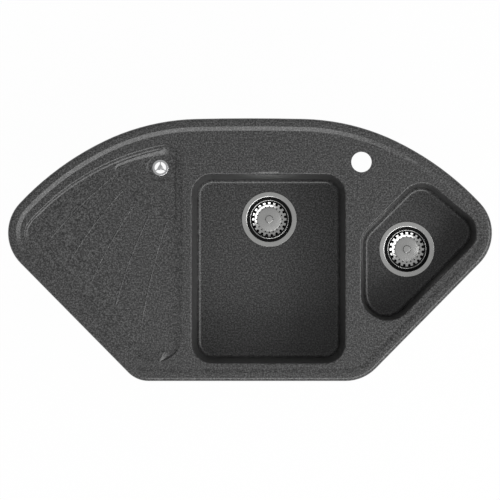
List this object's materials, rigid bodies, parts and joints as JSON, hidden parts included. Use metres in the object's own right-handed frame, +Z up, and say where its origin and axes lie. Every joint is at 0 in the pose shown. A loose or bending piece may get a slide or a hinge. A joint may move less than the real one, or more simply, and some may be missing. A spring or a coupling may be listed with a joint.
{
  "type": "corner kitchen sink",
  "caption": "Inset corner sink for a kitchen worktop, with a main bowl, a corner bowl, a ribbed drainer and lift-out strainer baskets.",
  "frame": {"origin": "in the plane of the worktop's upper surface, at the middle of the sink's plan", "axes": "+X from the drainer to the corner bowl, -Y towards the person at the sink, +Z up"},
  "size_m": [1.059, 0.575, 0.2775],
  "materials": {
    "granite": "matt granite composite, dark grey with fine light and black grains",
    "seal_foam": "closed-cell sealing strip, matt",
    "rubber_black": "matt",
    "steel_flange": "polished stainless sheet",
    "steel_basket": "polished stainless sheet",
    "steel_knob": "turned and polished",
    "steel_clamps": "pressed, satin",
    "steel_screws": "satin",
    "chrome_trim": "bright",
    "brass": "plain",
    "plastic_white": "moulded, satin"
  },
  "bodies": {
    "sink": {"sink_body": "granite", "rim_seal": "seal_foam", "drainer_rosette": "chrome_trim", "drainer_screw": "chrome_trim", "drainer_gasket": "rubber_black", "drainer_tail": "plastic_white", "drainer_insert": "brass", "overflow_outlet": "plastic_white", "overflow_gasket": "rubber_black", "overflow_screws": "steel_screws", "fixing_clamps": "steel_clamps", "fixing_screws": "steel_screws", "fixing_inserts": "brass", "main_strainer_flange": "steel_flange", "main_flange_gasket": "rubber_black", "main_waste_housing": "plastic_white", "main_housing_gasket": "rubber_black", "main_centre_screw": "steel_screws", "main_screw_insert": "brass", "side_strainer_flange": "steel_flange", "side_flange_gasket": "rubber_black", "side_waste_housing": "plastic_white", "side_housing_gasket": "rubber_black", "side_centre_screw": "steel_screws", "side_screw_insert": "brass", "main_inlet_spigots": "plastic_white"},
    "main_strainer": {"main_basket": "steel_basket", "main_basket_seal": "rubber_black", "main_basket_knob": "steel_knob"},
    "side_strainer": {"side_basket": "steel_basket", "side_basket_seal": "rubber_black", "side_basket_knob": "steel_knob"}
  },
  "joints": [
    {"name": "main_basket_lift", "type": "slide", "parent": "sink", "child": "main_strainer", "axis": [0, 0, 1], "range_m": [0, 0.24]},
    {"name": "side_basket_lift", "type": "slide", "parent": "sink", "child": "side_strainer", "axis": [0, 0, 1], "range_m": [0, 0.19]}
  ]
}
